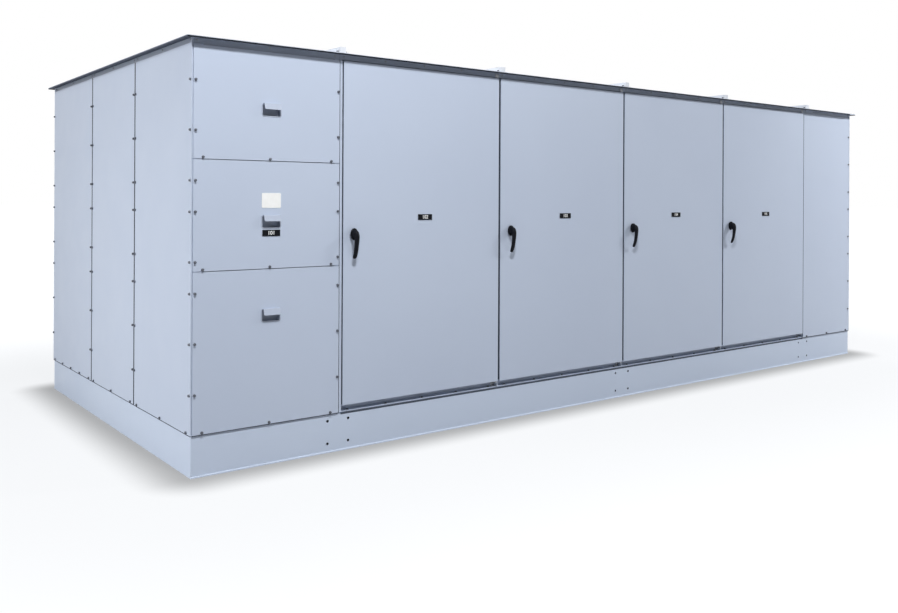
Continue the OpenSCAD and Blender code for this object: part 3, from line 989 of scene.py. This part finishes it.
@dataclass
class DoorSeals:
    """Rubber bead on the flange round the back of each door."""

    inset: float = 0.004
    width: float = 0.012
    depth: float = 0.004
    bevel: float = 0.0025

    def rear_rim(self, edge: bmesh.types.BMEdge, door_back: float) -> bool:
        """Whether an edge is a sharp one round the seal's rear face."""
        behind = min(vert.co.y for vert in edge.verts) > door_back + self.depth / 2
        return behind and edge.is_manifold and edge.calc_face_angle(0) > SHARP

    def build(self) -> None:
        """Make one seal for each door."""
        for k in range(1, DOORS + 1):
            low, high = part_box(f"door_{k}")
            margin = Vector((self.inset, 0, self.inset))
            corner_low = Vector((low.x, high.y, low.z)) + margin
            corner_high = Vector((high.x, high.y + self.depth, high.z)) - margin
            seal = Bench.block(f"door_seal_{k}", corner_low, corner_high)
            Bench.edit(seal)
            Bench.faces(seal, lambda face: abs(face.normal.y) > ALONG)
            bpy.ops.mesh.inset(thickness=self.width)
            bpy.ops.mesh.bridge_edge_loops()
            Bench.edges(seal, lambda edge: self.rear_rim(edge, high.y))
            bpy.ops.mesh.bevel(offset=self.bevel, segments=3, affect="EDGES")
            Bench.done()
            Bench.smooth(seal)
            dress(seal, Finish.SEAL_AND_SHADE, f"door_{k}")


@dataclass
class Strips:
    """Narrow strips: dark strips of painted shade along the roof's edges, under its overhang, in gaps and
    over seams, and sheet at a joint and the corners.
    """

    layout: Layout
    bevel: float = 0.0005
    # Sizes of the dark strips that are painted shade, and of the sheet strips.
    shade_t: float = 0.0015
    edge_shade_t: float = 0.002
    edge_shade_h: float = 0.0085
    edge_shade_below: float = 0.003
    edge_shade_short: float = 0.066
    under_w: float = 0.034
    door_in: float = 0.004
    door_depth: float = 0.027
    end_in: float = 0.006
    recess: float = 0.0005
    seam_shade_out: float = 0.0008
    seam_shade_lap: float = 0.002
    joint_gap: float = 0.004
    sill_t: float = 0.001
    sill_h: float = 0.011
    sill_rise: float = 0.003
    corner_w: float = 0.01

    def strip(
        self,
        name: str,
        low: Sequence[float],
        high: Sequence[float],
        finish: Finish,
        body: str = ENCLOSURE,
        slot: str | None = None,
    ) -> None:
        """Model a strip with rounded edges.

        Args:
            name: Name of the strip.
            low: Lowest corner.
            high: Highest corner.
            finish: Its finish.
            body: Body that carries it.
            slot: Not used.
        """
        strip = Bench.block(name, low, high)
        thinnest = min(b - a for a, b in zip(low, high))
        Bench.edit(strip)
        Bench.edges(strip, lambda edge: True)
        bpy.ops.mesh.bevel(offset=min(self.bevel, thinnest / 4), segments=2, affect="EDGES")
        Bench.done()
        dress(strip, finish, body)

    def roof_edges(self) -> None:
        """Make the dark trim round the roof's edge, and the dark strip under its overhang at both ends,
        all painted shade.
        """
        low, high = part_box("roof_1")[0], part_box(f"roof_{SECTIONS}")[1]
        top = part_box("roof_caps")[0].z - self.edge_shade_below
        foot, t = top - self.edge_shade_h, self.edge_shade_t
        end = self.layout.right - self.edge_shade_short
        self.strip("front_edge_shade", (low.x, low.y - t, foot), (end, low.y, top), Finish.SEAL_AND_SHADE)
        self.strip("rear_edge_shade", (low.x, high.y, foot), (high.x, high.y + t, top), Finish.SEAL_AND_SHADE)
        self.strip("left_edge_shade", (low.x - t, low.y, foot), (low.x, high.y, top), Finish.SHADE_STRIP)
        self.strip("right_edge_shade", (high.x, low.y, foot), (high.x + t, high.y, top), Finish.SHADE_STRIP)
        for name, x in (("left_roof_shade", low.x), ("right_roof_shade", high.x - self.under_w)):
            corner = (x + self.under_w, high.y - t, low.z)
            self.strip(name, (x, low.y + t, low.z - t), corner, Finish.SHADE_STRIP)

    def door_edges(self) -> None:
        """Make the dark strips on the closing edges of the doors, and on the cover beside the last one:
        painted shade in the gaps.
        """
        for k in range(1, DOORS + 1):
            low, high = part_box(f"door_{k}")
            front = low.y + self.door_in
            corner = (low.x - self.shade_t, front, low.z + self.end_in)
            top = (low.x, front + self.door_depth, high.z - self.end_in)
            self.strip(f"door_gap_shade_{k}", corner, top, Finish.SHADE_STRIP, f"door_{k}")
        low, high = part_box("end_cover")
        corner = (low.x - self.shade_t, low.y + self.shade_t, low.z + self.end_in)
        self.strip("cover_gap_shade", corner, (low.x, high.y, high.z - self.end_in), Finish.SHADE_STRIP)

    def panel_edges(self) -> None:
        """Make the dark beads over the seams between the end panels, painted shade in the seams."""
        for side, lower, upper in (("left", self.seam_shade_out, 0), ("right", 0, self.seam_shade_out)):
            for n in END_PANELS[1:]:
                before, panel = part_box(f"{side}_panel_{n - 1}"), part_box(f"{side}_panel_{n}")
                face = panel[0].x if side == "left" else panel[1].x
                corner = (face - lower, before[1].y - self.seam_shade_lap, panel[0].z)
                top = (face + upper, panel[0].y + self.seam_shade_lap, panel[1].z)
                self.strip(f"{side}_panel_bead_{n}", corner, top, Finish.SEAL_AND_SHADE)

    def feet(self) -> None:
        """Make the dark strips between the covers' and panels' lower edges and the base rails, painted
        shade in that gap.
        """
        names = ["lower_cover", "end_cover", "rear_panels"]
        names += [f"{side}_panel_{n}" for side in ("left", "right") for n in END_PANELS]
        step = Vector((self.recess, self.recess, 0))
        for name in names:
            low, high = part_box(name)
            top = Vector((high.x, high.y, low.z))
            floor = Vector((low.x, low.y, self.layout.base_top + self.recess))
            self.strip(f"{name}_foot_seal", floor + step, top - step, Finish.SHADE_STRIP)

    def joint(self) -> None:
        """Make the sheet strip beside the first door, the dark strip at its edge, and the dark strip along
        the sills; both dark strips are painted shade.
        """
        low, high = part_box("lower_cover")[0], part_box("upper_cover")[1]
        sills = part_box("door_sills")
        x, front, back = high.x + self.joint_gap, self.layout.front, self.layout.frame_front
        top = (sills[0].x, back, high.z)
        self.strip("joint_strip", (x, front, low.z), top, Finish.ENCLOSURE, slot="enclosure_paint")
        corner = (x - self.shade_t, front + self.recess, low.z)
        self.strip("joint_shade", corner, (x, back, high.z), Finish.SHADE_STRIP)
        top = self.layout.base_top + self.sill_rise
        corner = (sills[0].x, back - self.sill_t, top - self.sill_h)
        self.strip("sill_shade", corner, (sills[1].x, back, top), Finish.SHADE_STRIP)

    def corners(self) -> None:
        """Make the sheet caps that close the four corners between the panels and the roof."""
        z0, z1, w = self.layout.panel_top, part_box("roof_1")[0].z, self.corner_w
        for i, x in enumerate((self.layout.left, self.layout.right - w)):
            for j, y in enumerate((self.layout.front, self.layout.rear - w)):
                name = f"corner_cap_{2 * i + j + 1}"
                self.strip(name, (x, y, z0), (x + w, y + w, z1), Finish.ENCLOSURE, slot="enclosure_paint")

    def build(self) -> None:
        """Make all the strips."""
        self.roof_edges()
        self.door_edges()
        self.panel_edges()
        self.feet()
        self.joint()
        self.corners()


@dataclass
class HoleShades:
    """Dark rings inside the bolt holes of the base rails: painted shade in the bores."""

    layout: Layout
    half_x: float = 0.069
    half_z: float = 0.065
    middle_z: float = 0.1175
    radius: float = 0.0079
    depth: float = 0.005
    wall: float = 0.0006
    sides: int = 24

    def build(self) -> None:
        """Make one ring and copy it to every hole."""
        ring = Bench.disc("shade_ring_pattern", self.sides, self.radius, -self.depth, -self.wall)
        Bench.edit(ring)
        Bench.faces(ring, lambda face: abs(face.normal.z) > ALONG)
        bpy.ops.mesh.delete(type="FACE")
        Bench.done()
        Bench.modify(ring, "SOLIDIFY", thickness=self.wall, offset=-1)
        places = []
        rails = {Facing.FRONT: self.layout.frame_front, Facing.REAR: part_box("base_rear_rail")[1].y}
        for facing, y in rails.items():
            for x in self.layout.joints[1::2]:
                places += [
                    facing.at((x + i * self.half_x, y, self.middle_z + j * self.half_z))
                    for i in (-1, 1)
                    for j in (-1, 1)
                ]
        dress(Bench.copies("hole_shades", ring, places), Finish.SEAL_AND_SHADE, ENCLOSURE)
        bpy.data.objects.remove(ring)


@dataclass
class RailToes:
    """Rolled toe along the lower edge of the front and rear base rails."""

    out: float = 0.004
    height: float = 0.0095
    roll: float = 0.0038

    def outer_top(self, edge: bmesh.types.BMEdge, y: float) -> bool:
        """Whether an edge runs along the toe's outer upper corner."""
        return all(abs(v.co.y - y) < self.out / 2 and v.co.z > self.height / 2 for v in edge.verts)

    def build(self) -> None:
        """Make one toe for each long rail."""
        for name, side in (("front", -1), ("rear", 1)):
            low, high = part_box(f"base_{name}_rail")
            face = low.y if side < 0 else high.y
            outer = face + side * self.out
            corner = (high.x, max(face, outer), low.z + self.height)
            toe = Bench.block(f"{name}_rail_toe", (low.x, min(face, outer), low.z), corner)
            Bench.edit(toe)
            Bench.edges(toe, lambda edge: self.outer_top(edge, outer))
            bpy.ops.mesh.bevel(offset=self.roll, segments=5, affect="EDGES")
            Bench.done()
            Bench.smooth(toe)
            dress(toe, Finish.BASE, ENCLOSURE)


@dataclass(frozen=True)
class LeverStation:
    """Ring along a lever: two points as reach from the door and drop below the shaft, and half width."""

    outer: tuple[float, float]
    inner: tuple[float, float]
    half_w: float


@dataclass
class LeverHandles:
    """Pistol-grip door handles: an egg-shaped boss with a lever that leaves it forwards and hangs down."""

    sides: int = 12
    boss_sides: int = 24
    cam_sides: int = 32
    subdivisions: int = 2
    grip_angle: float = math.radians(60)
    joined_angle: float = math.radians(50)
    boss_w: float = 0.044
    boss_rise: float = 0.036
    boss_d: float = 0.024
    boss_taper: float = 0.22
    dome_steps: tuple[tuple[float, float], ...] = ((1 / 12, 1 / 22), (1 / 8, 1 / 40))
    seat: float = 0.0003
    shaft_r: float = 0.009
    cam_r: float = 0.018
    cam_t: float = 0.004
    sheet_t: float = 0.003
    stations: tuple[LeverStation, ...] = (
        LeverStation((0.0127, -0.0310), (0.0127, 0.0270), 0.0186),
        LeverStation((0.0330, -0.0290), (0.0285, 0.0250), 0.0180),
        LeverStation((0.0570, -0.0215), (0.0315, 0.0255), 0.0174),
        LeverStation((0.0675, 0.0030), (0.0345, 0.0290), 0.0166),
        LeverStation((0.0628, 0.0420), (0.0385, 0.0420), 0.0150),
        LeverStation((0.0560, 0.0802), (0.0364, 0.0764), 0.0148),
        LeverStation((0.0460, 0.1147), (0.0288, 0.1087), 0.0150),
        LeverStation((0.0346, 0.1366), (0.0198, 0.1294), 0.0142),
        LeverStation((0.0274, 0.1461), (0.0166, 0.1407), 0.0108),
    )

    def ring(self, i: int) -> bpy.types.Object:
        """Model the ring of edges at a station, through its outer and inner point.

        Args:
            i: Number of the station.

        Returns:
            The ring, in place.
        """
        station = self.stations[i]
        outer, inner = Vector(station.outer), Vector(station.inner)
        middle, span = (outer + inner) / 2, outer - inner
        Bench.clear()
        bpy.ops.mesh.primitive_circle_add(
            vertices=self.sides,
            radius=1,
            location=(0, -middle.x, -middle.y),
            rotation=(math.pi / 2 + math.atan2(span.x, -span.y), 0, 0),
        )
        bpy.context.object.scale = (station.half_w, span.length / 2, 1)
        return Bench.named(f"ring_{i}")

    def lever(self) -> bpy.types.Object:
        """Model the lever as rings of edges bridged along its line.

        Returns:
            The lever about the shaft's axis.
        """
        lever = Bench.joined("lever", [self.ring(i) for i in range(len(self.stations))])
        Bench.edit(lever)
        bpy.ops.mesh.select_mode(type="EDGE")
        bpy.ops.mesh.select_all(action="SELECT")
        bpy.ops.mesh.bridge_edge_loops()
        bpy.ops.mesh.select_all(action="DESELECT")
        bpy.ops.mesh.select_non_manifold()
        bpy.ops.mesh.fill_holes(sides=self.sides)
        bpy.ops.mesh.select_all(action="SELECT")
        bpy.ops.mesh.normals_make_consistent(inside=False)
        Bench.done()
        return lever

    def boss(self) -> bpy.types.Object:
        """Model the boss: a disc drawn into an egg, with a domed face.

        Returns:
            The boss about the shaft's axis.
        """
        boss = Bench.disc("boss", self.boss_sides, 1, self.seat, self.boss_d)
        boss.scale = (self.boss_w / 2, self.boss_rise, 1)
        bpy.ops.object.transform_apply(scale=True)
        Bench.edit(boss)
        Bench.faces(boss, lambda face: face.normal.z > ALONG)
        for step_in, step_up in self.dome_steps:
            bpy.ops.mesh.inset(thickness=self.boss_w * step_in, depth=self.boss_w * step_up)
        Bench.done()
        Bench.modify(boss, "SIMPLE_DEFORM", deform_method="TAPER", deform_axis="Y", factor=self.boss_taper)
        boss.data.transform(Matrix.Rotation(math.pi / 2, 4, "X"))
        return boss

    def spindle(self) -> bpy.types.Object:
        """Model the shaft through the door with its cam behind the sheet.

        Returns:
            The shaft and its cam.
        """
        back = self.sheet_t + self.seat
        spindle = Bench.disc("spindle", self.boss_sides, self.shaft_r, -back - self.cam_t, self.seat * 2)
        Bench.edit(spindle)
        Bench.faces(spindle, lambda face: face.normal.z < -ALONG)
        bpy.ops.mesh.inset(thickness=self.shaft_r / 5, depth=self.cam_t / 4)
        Bench.done()
        cam = Bench.disc("cam", self.cam_sides, self.cam_r, -back - self.cam_t, -back)
        Bench.edit(cam)
        Bench.edges(cam, lambda edge: edge.is_manifold and edge.calc_face_angle(0) > SHARP)
        bpy.ops.mesh.bevel(offset=self.cam_t / 6, segments=2, affect="EDGES")
        Bench.done()
        spindle = Bench.joined("spindle", [spindle, cam])
        spindle.data.transform(Matrix.Rotation(math.pi / 2, 4, "X"))
        return spindle

    def build(self) -> None:
        """Model one handle and set a copy of it on each door."""
        lever = self.lever()
        boss = self.boss()
        for piece in (lever, boss):
            Bench.modify(piece, "SUBSURF", levels=self.subdivisions, render_levels=self.subdivisions)
            Bench.smooth(piece, self.grip_angle)
        pattern = Bench.joined("handle_pattern", [lever, boss, self.spindle()])
        Bench.smooth(pattern, self.joined_angle)
        for k in range(1, DOORS + 1):
            low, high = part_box(f"handle_{k}")
            shaft = ((low.x + high.x) / 2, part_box(f"door_{k}")[0].y, high.z - self.boss_rise)
            handle = Bench.copy(f"lever_handle_{k}", pattern, Matrix.Translation(shaft))
            dress(handle, Finish.HANDLE, f"handle_{k}")
            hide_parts(f"handle_{k}")
        bpy.data.objects.remove(pattern)


@dataclass
class Painter:
    """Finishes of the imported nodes."""

    nodes: dict[str, bpy.types.Object]

    def finish_of(self, name: str) -> Finish:
        """Finish of one node.

        Args:
            name: The node's name.

        Returns:
            Its finish.
        """
        if name.startswith("base_") or name == "floor_plates":
            return Finish.BASE
        if name.startswith("roof_"):
            return Finish.CAP if name == "roof_caps" else Finish.ROOF
        if name.startswith("handle_"):
            return Finish.HANDLE
        # Pull hoods take the darker paint that is painted shade against the light on their upturned faces.
        if name.endswith("_pull"):
            return Finish.SHADED_PULL
        # Header rails take the darker paint that is painted shade under the roof's overhang.
        if name.endswith("_header"):
            return Finish.HEADER
        return Finish.ZINC if name == "hinge_brackets" else Finish.ENCLOSURE

    def paint(self) -> None:
        """Give every node its finish."""
        for name, node in self.nodes.items():
            node.data.materials.clear()
            node.data.materials.append(self.finish_of(name).of())
        LOG.info("painted %d nodes", len(self.nodes))


class Corner(Enum):
    """Corner of the line-up that a lamp is placed from."""

    FRONT_LEFT = ("left", "front")
    REAR_RIGHT = ("right", "rear")

    def on_floor(self, layout: Layout) -> Vector:
        """The corner's point on the floor."""
        return Vector((*(getattr(layout, side) for side in self.value), 0))


@dataclass(frozen=True)
class Softbox:
    """Large area lamp aimed at a point, both placed from a corner of the line-up."""

    name: str
    place: tuple[float, float, float]
    target: tuple[float, float, float]
    size: tuple[float, float]
    watts: float
    corner: Corner = Corner.FRONT_LEFT

    def build(self, layout: Layout) -> None:
        """Add the lamp.

        Args:
            layout: Main lines of the line-up.
        """
        lamp = bpy.data.lights.new(self.name, "AREA")
        lamp.shape = "RECTANGLE"
        lamp.size, lamp.size_y = self.size
        lamp.energy = self.watts
        holder = bpy.data.objects.new(self.name, lamp)
        aim = Vector(self.target) - Vector(self.place)
        holder.location = self.corner.on_floor(layout) + Vector(self.place)
        holder.rotation_euler = aim.to_track_quat("-Z", "Y").to_euler()
        bpy.context.scene.collection.objects.link(holder)


@dataclass
class Studio:
    """Pale floor, white surround and soft lamps."""

    layout: Layout
    floor_half: float = 200.0
    floor_inset: float = 0.03
    # Ramps of the seen floor's brightness with distance from the base: start, end and rise; together a
    # painted shadow round the line-up.
    floor_shadow_ramps: tuple[tuple[float, float, float], ...] = (
        (0.0, 0.03, 0.36),
        (0.03, 0.36, 0.5),
        (0.6, 4.0, 0.2),
    )
    floor_tint: Colour = (0.965, 0.98, 1.0)
    floor_seen: Colour = (0.08, 0.08, 0.08)
    floor_bounce: Colour = (0.34, 0.34, 0.35)
    sky: float = 0.16
    sky_from: float = 0.0
    sky_to: float = 0.5
    sky_tint: Colour = (0.97, 1.0, 1.04)
    lamps: tuple[Softbox, ...] = (
        Softbox("front_lamp", place=(0, -3.0, 6.0), target=(0, -3.0, 0), size=(1.0, 0.6), watts=404),
        Softbox("right_lamp", place=(9.0, -2.9, 5.6), target=(9.0, -2.9, 0), size=(1.2, 0.8), watts=530),
        Softbox("left_lamp", place=(-8.0, 1.2, 7.6), target=(0, 1.2, 1.0), size=(4.0, 4.0), watts=475),
        Softbox("low_lamp", place=(-4.5, 0.4, 0.9), target=(0, 0.8, 0.5), size=(2.4, 1.2), watts=86),
        Softbox(
            "rear_lamp", place=(2.5, 4.5, 6.0), target=(-2.5, 0, 1.0), size=(4.0, 4.0), watts=420,
            corner=Corner.REAR_RIGHT,
        ),
    )

    def rays(self, tree: bpy.types.NodeTree) -> bpy.types.NodeSocket:
        """Value that is 1 for rays that show the surround itself.

        Args:
            tree: Node tree to add the nodes to.

        Returns:
            1 for camera, glossy and transmission rays, otherwise 0.
        """
        path = tree.nodes.new("ShaderNodeLightPath")
        total = path.outputs["Is Camera Ray"]
        for name in ("Is Glossy Ray", "Is Transmission Ray"):
            both = tree.nodes.new("ShaderNodeMath")
            both.operation = "MAXIMUM"
            tree.links.new(total, both.inputs[0])
            tree.links.new(path.outputs[name], both.inputs[1])
            total = both.outputs[0]
        return total

    def glow(self, board: NodeBoard) -> bpy.types.NodeSocket:
        """Brightness of the floor as it is seen, with a painted shadow: dark under the line-up, rising to
        white away from it.

        Args:
            board: Node tree of the floor.

        Returns:
            The brightness.
        """
        low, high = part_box("base_front_rail")[0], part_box("base_rear_rail")[1]
        middle, half = (low + high) / 2, (high - low) / 2 - Vector((self.floor_inset, self.floor_inset, 0))
        place = board.maths("VectorMath", "SUBTRACT", board.place, (middle.x, middle.y, 0))["Vector"]
        place = board.maths("VectorMath", "ABSOLUTE", place)["Vector"]
        place = board.maths("VectorMath", "SUBTRACT", place, (half.x, half.y, half.z))["Vector"]
        place = board.maths("VectorMath", "MAXIMUM", place, (0, 0, 0))["Vector"]
        away = board.maths("VectorMath", "LENGTH", place)["Value"]
        total = 0.0
        for start, end, rise in self.floor_shadow_ramps:
            step = board.node("MapRange", Value=away, From_Min=start, From_Max=end, To_Max=rise)
            step.interpolation_type = "SMOOTHSTEP"
            total = board.maths("Math", "ADD", total, step.outputs["Result"])[0]
        return total

    def floor(self) -> None:
        """Add the floor, which looks white away from the line-up with a painted shadow round it, and
        throws some light back at it.
        """
        Bench.clear()
        bpy.ops.mesh.primitive_plane_add(size=2 * self.floor_half)
        floor = Bench.named("studio_floor")
        board = NodeBoard("studio_floor")
        mix = board.node("MixShader", Fac=self.rays(board.tree))
        seen = board.node("AddShader")
        glow = board.node("Emission", Color=self.floor_tint, Strength=self.glow(board))
        board.feed(seen.inputs[0], glow.outputs["Emission"])
        board.feed(seen.inputs[1], board.node("BsdfDiffuse", Color=self.floor_seen).outputs["BSDF"])
        board.feed(mix.inputs[1], board.node("BsdfDiffuse", Color=self.floor_bounce).outputs["BSDF"])
        board.feed(mix.inputs[2], seen.outputs["Shader"])
        board.feed(board.output.inputs["Surface"], mix.outputs["Shader"])
        floor.data.materials.append(board.material)

    def surround(self) -> None:
        """Set the world: white where it is seen, a soft sky where it lights."""
        world = bpy.data.worlds.new("studio_world")
        world.use_nodes = True
        bpy.context.scene.world = world
        tree = world.node_tree
        tree.nodes.clear()
        output = tree.nodes.new("ShaderNodeOutputWorld")
        mix = tree.nodes.new("ShaderNodeMixShader")
        tree.links.new(self.rays(tree), mix.inputs["Fac"])
        split = tree.nodes.new("ShaderNodeSeparateXYZ")
        tree.links.new(tree.nodes.new("ShaderNodeTexCoord").outputs["Generated"], split.inputs["Vector"])
        rise = tree.nodes.new("ShaderNodeMapRange")
        rise.interpolation_type = "SMOOTHSTEP"
        rise.inputs["From Min"].default_value = self.sky_from
        rise.inputs["From Max"].default_value = self.sky_to
        rise.inputs["To Max"].default_value = self.sky
        tree.links.new(split.outputs["Z"], rise.inputs["Value"])
        for socket in mix.inputs[1:]:
            shader = tree.nodes.new("ShaderNodeBackground")
            shader.inputs["Color"].default_value = (1, 1, 1, 1)
            tree.links.new(shader.outputs["Background"], socket)
        sky = mix.inputs[1].links[0].from_node
        sky.inputs["Color"].default_value = (*self.sky_tint, 1)
        tree.links.new(rise.outputs["Result"], sky.inputs["Strength"])
        tree.links.new(mix.outputs["Shader"], output.inputs["Surface"])

    def build(self) -> None:
        """Build the stage and its lamps."""
        bpy.context.scene.view_settings.view_transform = "Standard"
        self.floor()
        self.surround()
        for lamp in self.lamps:
            lamp.build(self.layout)
        LOG.info("studio with %d lamps", len(self.lamps))


@dataclass
class Viewpoint:
    """Camera at the photograph's place: lens, shift, and place from the line-up's front left corner."""

    layout: Layout
    lens: float = 35.75
    sensor: float = 36.0
    shift_y: float = -0.1182
    back: tuple[float, float, float] = (-1.7507, -4.5037, 1.4604)
    yaw: float = math.radians(37.375)
    roll: float = math.radians(0.274)
    far: float = 500.0

    def build(self) -> None:
        """Add the camera and make it the scene's own."""
        data = bpy.data.cameras.new("view")
        data.lens = self.lens
        data.sensor_width = self.sensor
        data.shift_y = self.shift_y
        data.clip_end = self.far
        camera = bpy.data.objects.new("view", data)
        place = Vector((self.layout.left, self.layout.front, 0)) + Vector(self.back)
        turn = Matrix.Rotation(-self.yaw, 4, "Z") @ Matrix.Rotation(math.pi / 2, 4, "X")
        camera.matrix_world = Matrix.Translation(place) @ turn @ Matrix.Rotation(self.roll, 4, "Z")
        bpy.context.scene.collection.objects.link(camera)
        bpy.context.scene.camera = camera


def main() -> None:
    """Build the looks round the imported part, piece by piece."""
    logging.basicConfig(level=logging.INFO, format="%(name)s: %(message)s")
    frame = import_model()
    layout = Layout.read()
    Viewpoint(layout).build()
    Studio(layout).build()
    Painter(frame["nodes"]).paint()
    bolt = Fastener().build()
    PanelBolts(layout, bolt).build()
    SillBolts(layout, bolt).build()
    CapBolts(layout, bolt).build()
    screw = Fastener(across=0.009, head_h=0.003, washer_r=0.006, washer_t=0.001, chamfer=0.0008).build()
    EaveBolts(layout, screw).build()
    for pattern in (bolt, screw):
        bpy.data.objects.remove(pattern)
    NumberPlates(layout).build()
    DoorSeals().build()
    Strips(layout).build()
    HoleShades(layout).build()
    RailToes().build()
    LeverHandles().build()


if __name__ == "__main__":
    main()
